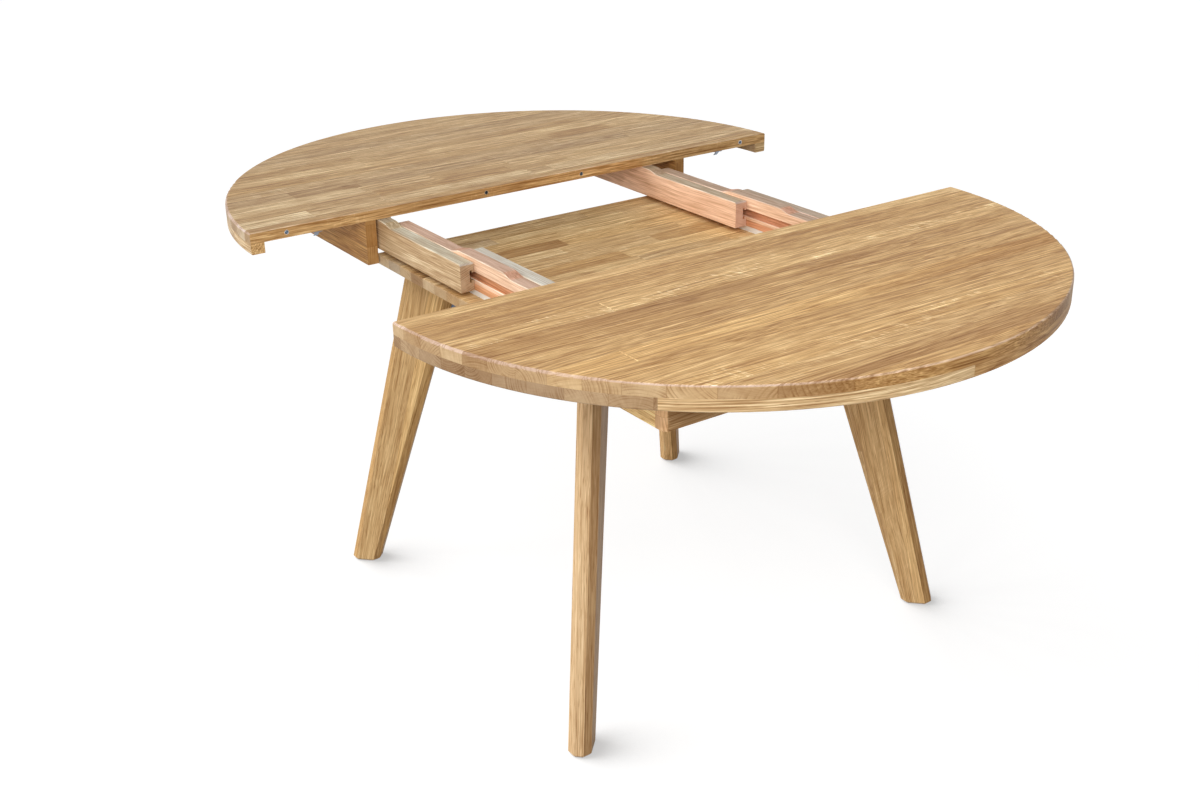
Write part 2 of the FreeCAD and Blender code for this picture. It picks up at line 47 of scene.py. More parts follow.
# ------------------------------------------------------------------ node building
class Tree:
    """Short names for the nodes that the materials are built from."""

    def __init__(self, tree):
        self.tree = tree

    def new(self, kind, values=(), **props):
        node = self.tree.nodes.new(kind)
        for key, value in props.items():
            setattr(node, key, value)
        for key, value in dict(values).items():
            self.put(node.inputs[key], value)
        return node

    def put(self, socket, value):
        if isinstance(value, bpy.types.NodeSocket):
            self.tree.links.new(value, socket)
        elif value is not None:
            socket.default_value = value

    def math(self, op, a, b=None, c=None):
        return self.new("ShaderNodeMath", {0: a, 1: b, 2: c}, operation=op).outputs[0]

    def add(self, a, b):
        return self.math("ADD", a, b)

    def sub(self, a, b):
        return self.math("SUBTRACT", a, b)

    def mul(self, a, b):
        return self.math("MULTIPLY", a, b)

    def swing(self, noise, depth):
        """Noise that goes from 0 to 1, made to go either way from nothing."""
        return self.mul(self.sub(noise, 0.5), depth)

    def vector(self, op, a, b=None, output="Vector"):
        return self.new("ShaderNodeVectorMath", {0: a, 1: b}, operation=op).outputs[output]

    def dot(self, a, b):
        return self.vector("DOT_PRODUCT", a, b, "Value")

    def length(self, a):
        return self.vector("LENGTH", a, output="Value")

    def xyz(self, x=0.0, y=0.0, z=0.0):
        return self.new("ShaderNodeCombineXYZ", {0: x, 1: y, 2: z}).outputs[0]

    def split(self, vector):
        return self.new("ShaderNodeSeparateXYZ", {0: vector}).outputs[:3]

    def noise(self, vector, detail=1.0, rough=0.5, scale=1.0, distortion=0.0):
        values = {"Vector": vector, "Scale": scale, "Detail": detail, "Roughness": rough,
                  "Distortion": distortion}
        return self.new("ShaderNodeTexNoise", values).outputs[0]

    def white(self, vector):
        """Three random numbers from 0 to 1 that go with a vector."""
        return self.split(self.new("ShaderNodeTexWhiteNoise", {"Vector": vector}).outputs["Color"])

    def cells(self, w, randomness, feature="F1"):
        """Cells along a line, about 1 wide."""
        values = {"W": w, "Scale": 1.0, "Randomness": randomness}
        return self.new("ShaderNodeTexVoronoi", values, voronoi_dimensions="1D", feature=feature).outputs

    def step(self, value, start, stop, low=0.0, high=1.0):
        """Smooth step from low at start to high at stop."""
        values = {0: value, 1: start, 2: stop, 3: low, 4: high}
        return self.new("ShaderNodeMapRange", values, interpolation_type="SMOOTHSTEP").outputs[0]

    def same(self, value, number):
        """1 where the value is that whole number."""
        return self.math("COMPARE", value, float(number), 0.1)

    def mix(self, share, a, b, blend="MIX"):
        node = self.new("ShaderNodeMix", {0: share, 6: a, 7: b}, data_type="RGBA", blend_type=blend)
        return node.outputs[2]

    def grey(self, value):
        return self.new("ShaderNodeCombineColor", {0: value, 1: value, 2: value}).outputs[0]


def rgb(r, g, b):
    return (r, g, b, 1.0)


def blank(name):
    material = bpy.data.materials.new(name)
    material.use_nodes = True
    material.node_tree.nodes.clear()
    return material, Tree(material.node_tree)


def surface(t, material, colour, rough, height, bump, metallic=0.0, specular=0.4):
    """Finish a material; bump is the depth in metres that a height of 1 stands for."""
    raised = t.new("ShaderNodeBump", {"Height": height, "Strength": 0.5, "Distance": bump})
    lit = t.new("ShaderNodeBsdfPrincipled", {"Base Color": colour, "Roughness": rough, "Metallic": metallic,
                                             "Specular IOR Level": specular, "Normal": raised.outputs[0]})
    t.new("ShaderNodeOutputMaterial", {"Surface": lit.outputs[0]})
    return material


def dress(material, *names):
    for name in names:
        slots = NODES[name].data.materials
        slots.clear()
        slots.append(material)


# ------------------------------------------------------------------ grain
# Brightness of the grain is worked out as a logarithm; darker wood is also redder and fuller in
# colour, so each channel follows it at its own rate, and the warmth of a stave likewise.
BY_TONE = (0.41, 0.56, 0.72)
BY_WARMTH = (0.70, 0.35, -0.62)

# The log that a stave is cut from, in metres or, along the grain, metres per metre.
PITH_LEAST, PITH_SPREAD = 0.022, 0.085     # from the stave's middle to the pith
SLOPE_SIDE, SLOPE_DEEP = 0.05, 0.06        # spread of the slopes at which the grain leaves the stave
SWAY_SIDE, SWAY_DEEP = 0.022, 0.016
RIPPLE = 0.0035
RING = 0.0042                              # width of a growth ring
RING_WANDER = 3.2                          # spread of a ring's place, in rings
EARLY_ENDS, EARLY_STARTS = 0.55, 0.90      # where in a ring its open earlywood fades out and in
FLECK_WAY = (0.55, 0.83)                   # the way a ray fleck lies: along the grain, and to the side
LOG_SHIFT = 40.0                           # keeps the noises of two logs apart

# Noise rates, per metre along the grain and per metre across it.
SWAY_RATES, RIPPLE_RATES = (1.9, 4.0), (9.0, 30.0)
BROAD_RATES, STREAK_RATES, FINE_RATES = (1.3, 38.0), (3.6, 165.0), (12.0, 500.0)
PORE_RATES, THREAD_RATES, FADING_RATES = (42.0, 760.0), (3.0, 260.0), (3.0, 40.0)
CLOUD_RATES, PATCH_RATES = (6.0, 8.0), (7.0, 22.0)
UNEVEN_RATES = (0.8, 120.0)                # across the rings
SPOKE_RATES = (700.0, 25.0)                # round the pith, and away from it
FLECK_RATES = (40.0, 270.0, 120.0)         # along a fleck, across it, and through the board

# Levels of a noise at which what it draws begins to show, and shows in full.
PORE_SHOWS, THREAD_SHOWS, LINE_SHOWS = (0.54, 0.70), (0.56, 0.68), (0.30, 0.65)
FLECK_SHOWS, PATCH_SHOWS = (0.58, 0.64), (0.42, 0.60)
END_SHOWS = (0.15, 0.60)                   # the same of end grain, by the cosine that Facing gives

# How far each trait changes the brightness.
STREAK_END, STREAK_LONG = 0.7, 2.2         # on end grain, and what long grain adds
LINE_LONG, LINE_END = 0.40, 0.45           # on long grain, and what end grain adds
LINE_MEAN = 0.30
PORE_LATE, PORE_EARLY = 0.35, 0.65         # in latewood, and what earlywood adds
BROAD, FINE, THREAD, CLOUD = 0.9, 3.6, 0.75, 0.35
FLECK, SPOKE = 0.95, 0.7
END_DARKER = 0.28
END_COOLER, FLECK_COOLER = 0.17, 0.10

# Roughness, and what pores and streaks add to it; heights of streaks, pores and earlywood.
ROUGH, PORE_ROUGHER, STREAK_ROUGHER = 0.47, 0.16, 0.4
STREAK_HEIGHT, PORE_HEIGHT, EARLY_HEIGHT = 1.2, -1.0, -0.25
GRAIN_DEPTH = 0.00015                      # metres that a height of 1 stands for
WOOD_SPECULAR = 0.12

GRAIN_INPUTS = (
    ("Vector", "Vector", (0, 0, 0)), ("Local", "Float", 0.0), ("Facing", "Float", 0.0),
    ("Seed", "Vector", (0, 0, 0)), ("Base", "Color", rgb(0.6, 0.4, 0.2)), ("Tone", "Float", 0.0),
    ("Warmth", "Float", 0.0), ("Rays", "Float", 1.0), ("Rings", "Float", 1.0),
    ("Streaks", "Float", 1.0), ("Pores", "Float", 1.0))
GRAIN_OUTPUTS = (("Color", "Color"), ("Roughness", "Float"), ("Height", "Float"))


def read_log(t, seed):
    """Numbers from 0 to 1 that tell one log from the next, and a shift for its noises."""
    pick, turn, reach = t.white(seed)
    slope, dip = t.white(t.xyz(turn, reach, pick))[:2]
    return {"turn": turn, "reach": reach, "slope": slope, "dip": dip, "shift": t.mul(pick, LOG_SHIFT)}


def place_in_log(t, vector, local, log):
    """Distances along the grain, to the side and deep: the grain sways, and leaves the stave at a slope."""
    along, across, through = t.split(vector)

    def bending(rates, detail):
        return t.noise(t.xyz(t.mul(along, rates[0]), log["shift"], t.mul(across, rates[1])), detail)

    swaying = bending(SWAY_RATES, 2.0)
    rippling = bending(RIPPLE_RATES, 1.0)
    side = t.add(local, t.mul(along, t.swing(log["slope"], SLOPE_SIDE)))
    side = t.add(side, t.add(t.swing(swaying, SWAY_SIDE), t.swing(rippling, RIPPLE)))
    deep = t.add(t.mul(along, t.swing(log["dip"], SLOPE_DEEP)), t.swing(swaying, SWAY_DEEP))
    return along, side, t.add(through, deep)


def growth_rings(t, along, side, deep, log):
    """Earlywood, from 0 to 1, of uneven rings round the pith, and the rays that show on end grain."""
    angle = t.mul(log["turn"], 2 * math.pi)
    away = t.add(PITH_LEAST, t.mul(log["reach"], PITH_SPREAD))
    from_side = t.sub(side, t.mul(away, t.math("COSINE", angle)))
    from_deep = t.sub(deep, t.mul(away, t.math("SINE", angle)))
    radius = t.math("SQRT", t.add(t.mul(from_side, from_side), t.mul(from_deep, from_deep)))
    around = t.math("ARCTAN2", from_deep, from_side)
    by_along, by_radius = UNEVEN_RATES
    uneven = t.noise(t.xyz(t.mul(radius, by_radius), log["shift"], t.mul(along, by_along)), 2.0, 0.6)
    part = t.math("FRACT", t.add(t.math("DIVIDE", radius, RING), t.mul(uneven, RING_WANDER)))
    early = t.math("MAXIMUM", t.step(part, EARLY_ENDS, 0.0), t.step(part, EARLY_STARTS, 1.0))
    by_arc, outward = SPOKE_RATES
    round_pith = t.mul(around, t.mul(away, by_arc))
    spokes = t.noise(t.xyz(round_pith, t.mul(radius, outward), log["shift"]), 2.0, 0.6)
    return early, spokes


def ray_flecks(t, along, side, through, log):
    """Rays cut lengthwise: short bright flecks in patches, at a slant to the grain."""
    part_along, part_side = FLECK_WAY
    lengthwise = t.add(t.mul(along, part_along), t.mul(side, part_side))
    crosswise = t.sub(t.mul(along, part_side), t.mul(side, part_along))
    by_length, by_width, by_depth = FLECK_RATES
    place = t.xyz(t.mul(lengthwise, by_length), t.add(t.mul(crosswise, by_width), log["shift"]),
                  t.mul(through, by_depth))
    fleck = t.noise(place, distortion=0.6)
    by_along, by_side = PATCH_RATES
    patch = t.noise(t.xyz(t.mul(along, by_along), t.add(t.mul(side, by_side), log["shift"]), 0.0))
    return t.mul(t.step(fleck, *FLECK_SHOWS), t.step(patch, *PATCH_SHOWS))


def grain_group():
    """Grain of a ring-porous stave, as a solid texture.

    Vector is (along the grain, across the staves, through the board), in metres, and Local the
    distance across from the middle of the stave. Facing is the cosine between the grain and the
    way that a face looks, and Seed picks the log."""
    group = bpy.data.node_groups.new("grain", "ShaderNodeTree")
    for name, kind, value in GRAIN_INPUTS:
        socket = group.interface.new_socket(name, in_out="INPUT", socket_type="NodeSocket" + kind)
        socket.default_value = value
    for name, kind in GRAIN_OUTPUTS:
        group.interface.new_socket(name, in_out="OUTPUT", socket_type="NodeSocket" + kind)
    t = Tree(group)
    got = t.new("NodeGroupInput").outputs
    end = t.step(t.math("ABSOLUTE", got["Facing"]), *END_SHOWS)
    long_ = t.sub(1.0, end)
    across, through = t.split(got["Vector"])[1:]
    log = read_log(t, got["Seed"])
    along, side, deep = place_in_log(t, got["Vector"], got["Local"], log)
    early, spokes = growth_rings(t, along, side, deep, log)

    def drawn(rates, detail=1.0, rough=0.5, shifted=0):
        """Noise drawn out along the grain; each log shifts one of its three coordinates."""
        by_along, by_across = rates
        place = [t.mul(along, by_along), t.mul(side, by_across), t.mul(deep, by_across)]
        place[shifted] = t.add(place[shifted], log["shift"])
        return t.noise(t.xyz(*place), detail, rough)

    broad = drawn(BROAD_RATES)
    streak = drawn(STREAK_RATES, 3.0, 0.78)
    fine = drawn(FINE_RATES, rough=0.7)
    thread = drawn(THREAD_RATES, shifted=1)
    fading = drawn(FADING_RATES, shifted=2)
    by_along, by_across = CLOUD_RATES
    cloud = t.noise(t.xyz(t.mul(along, by_along), t.mul(across, by_across), t.mul(through, by_across)), 2.0)
    pores = t.mul(t.step(drawn(PORE_RATES), *PORE_SHOWS), t.add(PORE_LATE, t.mul(early, PORE_EARLY)))
    pores = t.mul(pores, got["Pores"])
    flecks = t.mul(ray_flecks(t, along, side, through, log), t.mul(long_, got["Rays"]))
    lines = t.mul(early, t.add(LINE_LONG, t.mul(end, LINE_END)))
    lines = t.mul(lines, t.mul(got["Rings"], t.step(fading, *LINE_SHOWS)))
    long_streaks = t.mul(long_, got["Streaks"])

    level = t.swing(streak, t.mul(t.add(STREAK_END, t.mul(long_, STREAK_LONG)), got["Streaks"]))
    level = t.add(got["Tone"], level)
    level = t.add(level, t.swing(broad, t.mul(got["Rings"], BROAD)))
    level = t.add(level, t.swing(fine, t.mul(long_streaks, FINE)))
    level = t.sub(level, t.mul(t.mul(t.step(thread, *THREAD_SHOWS), THREAD), long_streaks))
    level = t.add(level, t.swing(cloud, CLOUD))
    level = t.sub(level, t.sub(lines, LINE_MEAN))
    level = t.sub(level, t.mul(pores, long_))
    level = t.add(level, t.swing(spokes, t.mul(end, SPOKE)))
    level = t.add(level, t.mul(flecks, FLECK))
    level = t.sub(level, t.mul(end, END_DARKER))
    warmth = t.sub(got["Warmth"], t.add(t.mul(end, END_COOLER), t.mul(flecks, FLECK_COOLER)))
    channels = [t.math("EXPONENT", t.add(t.mul(level, by_tone), t.mul(warmth, by_warmth)))
                for by_tone, by_warmth in zip(BY_TONE, BY_WARMTH)]

    raised = t.add(t.mul(streak, STREAK_HEIGHT), t.mul(early, EARLY_HEIGHT))
    t.new("NodeGroupOutput", {
        "Color": t.vector("MULTIPLY", got["Base"], t.xyz(*channels)),
        "Roughness": t.add(t.add(ROUGH, t.mul(pores, PORE_ROUGHER)), t.swing(streak, STREAK_ROUGHER)),
        "Height": t.add(t.mul(pores, PORE_HEIGHT), raised)})
    return group


GRAIN = grain_group()


# ------------------------------------------------------------------ staves
# A layout gives the grain group's inputs at a place in the frame of the grain.
SEAM = 0.0008                   # width of the darkening along a glued joint
SIDE_SEAM, END_SEAM = 0.45, 0.5     # how dark it is
SEED_SHIFT, ROW_SHIFT = 7.31, 91.7  # keep the cells of two seeds, and of two rows, apart
UNEVEN_LENGTHS = 0.8
HUES = 0.10                     # spread of the warmth
FIGURED = (0.4, 0.8)            # of a number from 0 to 1, where a stave's rays begin and are full

BUTT = 0.0004                   # width over which a butt joint goes from piece to piece
PIECE_SHIFT = 0.137             # keeps the log of a butt-jointed piece apart from its row's

KNOT_FLATTER = 0.45             # width of a knot's darkening, over its length
KNOT_RATES = (90.0, 160.0)      # of its ragged edge
KNOT_EDGE, KNOT_CORE = 1.6, 0.5     # times its radius


def seam(t, distance, depth):
    return t.step(distance, 0.0, SEAM, -depth, 0.0)


def cells_and_edges(t, w, randomness, width):
    """Outputs of the cells along a line, and the distance to the nearest edge, in metres."""
    edge = t.mul(t.cells(w, randomness, "DISTANCE_TO_EDGE")["Distance"], width)
    return t.cells(w, randomness), edge


def random_staves(width, length=9.0, spread=0.3, seed=0.0, tones=0.5):
    """Layout of staves of random tone; spread makes their widths differ."""
    def layout(t, vector):
        along, across, through = t.split(vector)
        w = t.add(t.math("DIVIDE", across, width), seed * SEED_SHIFT)
        row, row_edge = cells_and_edges(t, w, spread, width)
        row_id = t.split(row["Color"])[0]
        v = t.add(t.math("DIVIDE", along, length), t.mul(row_id, ROW_SHIFT))
        piece, end_edge = cells_and_edges(t, v, UNEVEN_LENGTHS, length)
        key = t.xyz(row_id, t.split(piece["Color"])[1], seed)
        tone, hue, figure = t.white(key)
        dark = t.add(seam(t, row_edge, SIDE_SEAM), seam(t, end_edge, END_SEAM))
        return {"Local": t.mul(t.sub(w, row["W"]), width), "Seed": key,
                "Tone": t.add(t.swing(tone, tones), dark), "Warmth": t.swing(hue, HUES),
                "Rays": t.step(figure, *FIGURED)}
    return layout


def pick_row(t, number, rows):
    """Tone, warmth and rays of the row of that number, from a ramp with one step for each row."""
    ramp = t.new("ShaderNodeValToRGB", {0: t.math("DIVIDE", t.add(number, 0.5), float(len(rows)))})
    ramp.color_ramp.interpolation = "CONSTANT"
    stops = ramp.color_ramp.elements
    while len(stops) < len(rows):
        stops.new(0.5)
    for i, (tone, warmth, rays) in enumerate(rows):
        stops[i].position = i / len(rows)
        stops[i].color = (tone + 1.0, warmth + 1.0, rays, 1.0)    # a ramp holds nothing below 0
    tone, warmth, rays = t.split(ramp.outputs[0])
    return t.sub(tone, 1.0), t.sub(warmth, 1.0), rays


def knot(t, along, across, centre, aside, radius, depth):
    """Darkening round a knot."""
    from_knot = t.length(t.xyz(t.mul(t.sub(along, centre), KNOT_FLATTER), t.sub(across, aside)))
    by_along, by_across = KNOT_RATES
    ragged = t.noise(t.xyz(t.mul(along, by_along), t.mul(across, by_across)), 2.0, 0.6)
    distance = t.add(from_knot, t.mul(ragged, radius))
    return t.step(distance, radius * KNOT_EDGE, radius * KNOT_CORE, 0.0, depth)


def listed_staves(first, width, rows, patches, knots, seed, gain):
    """Layout of staves of one width, listed in turn as (tone, warmth, rays), the tones times gain.

    A patch (start, stop, row, tone, warmth, soft) is a piece of a row, with butt joints where
    soft is 0; a knot is (along, across, radius, depth)."""
    levels = [(tone * gain, warmth, rays) for tone, warmth, rays in rows]

    def layout(t, vector):
        along, across, through = t.split(vector)
        place = t.math("DIVIDE", t.sub(across, first), width)
        number = t.math("FLOOR", place)
        tone, warmth, rays = pick_row(t, number, levels)
        from_middle = t.sub(t.math("FRACT", place), 0.5)
        edge = t.mul(t.sub(0.5, t.math("ABSOLUTE", from_middle)), width)
        tone = t.add(tone, seam(t, edge, SIDE_SEAM))
        piece = number
        for k, (start, stop, row, more, warmer, soft) in enumerate(patches):
            off = t.math("ABSOLUTE", t.sub(along, (start + stop) / 2))
            half = (stop - start) / 2
            inside = t.step(off, half + soft / 2, half - max(soft, BUTT) / 2)
            here = t.mul(inside, t.same(number, row))
            tone = t.math("MULTIPLY_ADD", here, more * gain, tone)
            warmth = t.math("MULTIPLY_ADD", here, warmer, warmth)
            if not soft:
                piece = t.math("MULTIPLY_ADD", here, PIECE_SHIFT * (k + 1), piece)
        for each in knots:
            tone = t.sub(tone, knot(t, along, across, *each))
        return {"Local": t.mul(from_middle, width), "Seed": t.xyz(piece, seed, 0.0),
                "Tone": tone, "Warmth": warmth, "Rays": rays}
    return layout


def one_piece(seed):
    """Layout of a single solid piece."""
    def layout(t, vector):
        return {"Local": t.split(vector)[1], "Seed": (seed, seed * 0.7, 0.0)}
    return layout


def wood(name, base, layout, along=X, across=Y, through=Z, origin=(0, 0, 0), turned=None, paint=None,
         **values):
    """Wood material; along, across and through are directions in the row frame.

    turned(t, place, normal) gives the three values itself where the grain turns over a piece, and
    paint(t, place, normal, base) the colour where it differs from face to face. values are inputs
    of the grain group, or factors of what the layout gives."""
    material, t = blank(name)
    where = t.new("ShaderNodeTexCoord").outputs
    normal = where["Normal"]
    place = t.vector("SUBTRACT", where["Object"], Vector(origin))
    if turned:
        vector, facing = turned(t, place, normal)
    else:
        vector = t.xyz(t.dot(place, along), t.dot(place, across), t.dot(place, through))
        facing = t.dot(normal, along)
    colour = paint(t, place, normal, base) if paint else base
    inputs = {"Vector": vector, "Facing": facing, "Base": colour}
    inputs.update(layout(t, vector))
    for key, value in values.items():
        inputs[key] = t.mul(inputs[key], value) if key in inputs else value
    grain = t.new("ShaderNodeGroup", inputs, node_tree=GRAIN).outputs
    return surface(t, material, grain["Color"], grain["Roughness"], grain["Height"], GRAIN_DEPTH,
                   specular=WOOD_SPECULAR)


# ------------------------------------------------------------------ tops and panel
NEAR_OAK = rgb(0.580, 0.338, 0.137)
FAR_OAK = rgb(0.550, 0.350, 0.167)
PANEL_OAK = rgb(0.570, 0.350, 0.150)
STRAIGHT_OAK = rgb(0.60, 0.355, 0.150)
# Darker colour painted as shade on the near rim's faces that look along +X; its slanting faces take the sides
# colour.
NEAR_RIM_SHADE = rgb(0.46, 0.245, 0.085)
NEAR_RIM_SIDES = rgb(0.60, 0.375, 0.168)
# Pale colour painted along the rounded upper arris as a highlight, and how much of it is laid on.
ARRIS_HIGHLIGHT = rgb(0.82, 0.60, 0.46)
ARRIS_HIGHLIGHT_SHARE = 0.45

# Cosines at which a face starts to take a paint, and has all of it: of a rim's face or straight
# edge to the slide direction, and of a face to the upright.
RIM_SHADE_FACING, RIM_SIDES = (-0.80, -0.95), (-0.84, -0.66)
STRAIGHT = (0.90, 0.97)
UPRIGHT = (0.3, 0.1)
HIGHLIGHT_BEGINS, HIGHLIGHT_ENDS = (0.20, 0.45), (0.985, 0.90)
STRAIGHT_X = (0.285, 0.280)       # only this near the middle is a face the straight edge

TOP_STAVE, PANEL_STAVE = 0.0445, 0.0438
# where the first listed stave of each begins: from the straight edges, and from the panel's middle
NEAR_FIRST, FAR_FIRST, PANEL_FIRST = NEAR_X - 0.0126, FAR_X - 0.6039, BASE_X - 0.3334


def board_paint(edge, rim_shade, rim_sides):
    """Colours of a top board, whose straight edge looks to edge (+1 or -1) times X.

    The straight edge is fresher wood, the upper arris is painted paler as a highlight, the rim's upright
    faces that look away from the straight edge take the rim_shade colour as painted shade, and its slanting
    faces take the rim_sides colour."""
    def paint(t, place, normal, base):
        nx, ny, nz = t.split(normal)
        outward = t.mul(nx, edge)
        upright = t.step(nz, *UPRIGHT)
        from_middle = t.math("ABSOLUTE", t.split(place)[0])
        # painted shade: the rim's upright faces that look away from the straight edge take the darker
        # rim_shade colour
        colour = t.mix(t.mul(t.step(outward, *RIM_SHADE_FACING), upright), base, rim_shade)
        colour = t.mix(t.mul(t.step(outward, *RIM_SIDES), upright), colour, rim_sides)
        straight = t.mul(t.step(outward, *STRAIGHT), t.step(from_middle, *STRAIGHT_X))
        colour = t.mix(straight, colour, STRAIGHT_OAK)
        # painted highlight: a paler colour along the rounded upper arris
        arris = t.mul(t.step(nz, *HIGHLIGHT_BEGINS), t.step(nz, *HIGHLIGHT_ENDS))
        return t.mix(t.mul(arris, ARRIS_HIGHLIGHT_SHARE), colour, ARRIS_HIGHLIGHT)
    return paint


# The tones and warmths of these staves were measured in the photo, stave by stave, by a separate
# script, and then rounded, typed in and adjusted. Joints, knots and rays were placed from crops of it.
NEAR_ROWS = (
    (0.30, 0.0, 0.3), (-0.18, 0.01, 0.5), (0.00, -0.01, 0.4), (0.20, 0.0, 1.0), (-0.34, -0.01, 0.5),
    (-0.05, -0.01, 0.3), (0.03, -0.01, 0.2), (0.05, 0.06, 0.3), (-0.03, 0.01, 0.1), (0.09, 0.0, 0.2),
    (0.10, 0.02, 1.0), (0.08, -0.03, 0.5), (-0.26, -0.04, 0.1), (-0.10, 0.0, 0.3))
NEAR_PATCHES = (
    (-0.60, -0.33, 2, -0.17, 0.0, 0.12), (-0.10, 0.05, 2, 0.20, 0.0, 0.15),
    (0.18, 0.33, 0, -0.12, 0.0, 0.10), (0.40, 0.62, 0, 0.22, 0.0, 0.12),
    (0.05, 0.35, 1, -0.12, 0.0, 0.10), (0.42, 0.62, 1, 0.18, 0.0, 0.10),
    (-0.3095, -0.3070, 3, 0.45, 0.0, 0.0), (-0.307, 0.62, 3, 0.05, 0.0, 0.0),
    (0.18, 0.62, 4, 0.14, 0.0, 0.2), (-0.30, -0.05, 4, -0.12, -0.02, 0.15),
    (0.25, 0.62, 7, -0.50, 0.02, 0.30), (-0.60, -0.12, 7, 0.12, 0.0, 0.2),
    (-0.3985, -0.3960, 7, 0.40, 0.0, 0.0), (-0.15, 0.0, 10, 0.15, 0.0, 0.1),
    (0.42, 0.62, 5, 0.18, -0.02, 0.15))
NEAR_KNOTS = ((-0.485, 0.443, 0.006, 0.9), (-0.190, 0.470, 0.010, 0.7), (0.358, 0.408, 0.006, 0.5))

FAR_ROWS = (
    (-0.03, 0.03, 0.3), (0.02, 0.01, 0.3), (0.08, 0.02, 0.2), (-0.06, -0.04, 0.5), (0.07, -0.01, 0.5),
    (-0.11, 0.01, 0.3), (0.16, 0.03, 0.3), (-0.07, 0.04, 0.5), (-0.03, -0.02, 0.6), (-0.10, -0.05, 0.3),
    (0.02, 0.0, 0.4), (-0.06, 0.01, 0.4), (0.18, -0.02, 0.5), (-0.14, 0.04, 0.3))
FAR_PATCHES = (
    (-0.60, -0.22, 5, -0.13, 0.02, 0.0), (0.14, 0.33, 5, -0.14, 0.04, 0.06),
    (-0.22, -0.06, 6, -0.16, 0.0, 0.0), (0.17, 0.60, 6, 0.07, 0.0, 0.0),
    (-0.60, -0.36, 7, -0.18, 0.02, 0.2), (0.22, 0.36, 7, -0.31, 0.02, 0.05),
    (0.36, 0.60, 7, 0.16, 0.0, 0.1), (-0.44, -0.30, 9, -0.18, 0.0, 0.0),
    (0.10, 0.35, 9, -0.09, -0.03, 0.0), (-0.60, -0.31, 10, 0.16, -0.02, 0.0),
    (-0.16, 0.02, 10, -0.14, 0.02, 0.0), (-0.30, 0.0, 11, -0.20, 0.03, 0.0),
    (0.08, 0.36, 11, 0.22, 0.02, 0.2), (-0.60, -0.46, 12, 0.23, -0.01, 0.0),
    (-0.46, -0.31, 12, -0.18, 0.01, 0.0), (0.02, 0.07, 12, -0.18, 0.0, 0.0))
FAR_KNOTS = ((-0.327, -0.453, 0.007, 1.0), (0.304, -0.453, 0.006, 1.0), (0.20, -0.60, 0.004, 0.6))

# The first three rows, along the far half's straight edge, have raised tones: painted light against the shade
# that the far half casts there.
PANEL_ROWS = (
    (0.60, -0.04, 0.3), (0.55, -0.03, 0.4), (0.25, -0.02, 0.4), (0.06, 0.02, 0.3), (0.02, -0.03, 0.5),
    (0.01, -0.03, 0.8), (0.24, 0.03, 0.4), (0.14, 0.0, 0.5), (0.03, 0.0, 0.3), (-0.07, 0.02, 0.3),
    (0.07, 0.0, 0.3), (0.00, 0.0, 0.3), (-0.14, 0.0, 0.3), (0.07, 0.0, 0.3), (0.00, 0.0, 0.3),
    (0.07, 0.0, 0.3))
PANEL_PATCHES = (
    (-0.36, 0.103, 0, -0.04, -0.02, 0.0), (0.103, 0.36, 0, -0.04, 0.04, 0.0),
    (-0.36, -0.134, 1, -0.19, -0.15, 0.0), (0.12, 0.36, 1, 0.08, 0.0, 0.2),
    (-0.36, -0.009, 2, 0.04, 0.0, 0.0), (-0.36, -0.030, 3, -0.71, -0.04, 0.0),
    (0.132, 0.36, 3, 0.11, 0.01, 0.0), (-0.36, -0.059, 4, 0.21, -0.03, 0.0),
    (0.216, 0.36, 4, 0.19, 0.02, 0.0), (0.123, 0.36, 5, -0.34, 0.05, 0.0),
    (-0.36, 0.022, 6, -0.49, 0.04, 0.0), (0.032, 0.239, 7, -0.26, -0.06, 0.0),
    (0.239, 0.36, 7, 0.08, 0.02, 0.0))

near_staves = listed_staves(NEAR_FIRST, TOP_STAVE, NEAR_ROWS, NEAR_PATCHES, NEAR_KNOTS, seed=1.0, gain=1.4)
far_staves = listed_staves(FAR_FIRST, TOP_STAVE, FAR_ROWS, FAR_PATCHES, FAR_KNOTS, seed=2.0, gain=1.6)
panel_staves = listed_staves(PANEL_FIRST, PANEL_STAVE, PANEL_ROWS, PANEL_PATCHES, (), seed=3.0, gain=1.3)
dress(wood("near_top", NEAR_OAK, near_staves, Y, X, Z, (0, 0, BOARD_Z),
           paint=board_paint(-1, NEAR_RIM_SHADE, NEAR_RIM_SIDES)), "near_board")
dress(wood("far_top", FAR_OAK, far_staves, Y, X, Z, (0, 0, BOARD_Z),
           paint=board_paint(1, FAR_OAK, FAR_OAK), Streaks=1.1), "far_board")
dress(wood("panel", PANEL_OAK, panel_staves, Y, X, Z, (0, 0, PANEL_Z)), "base_panel")


# ------------------------------------------------------------------ rim bands
BAND_STAVE, BAND_STAVE_L = 0.05, 0.8
ARC = math.pi / 4
RIM_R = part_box("near_board")[1].y       # turns an angle into a length along the band
ARC_SHIFT = 0.31          # keeps the staves of two arcs apart
PALE_ARC = rgb(0.61, 0.41, 0.215)


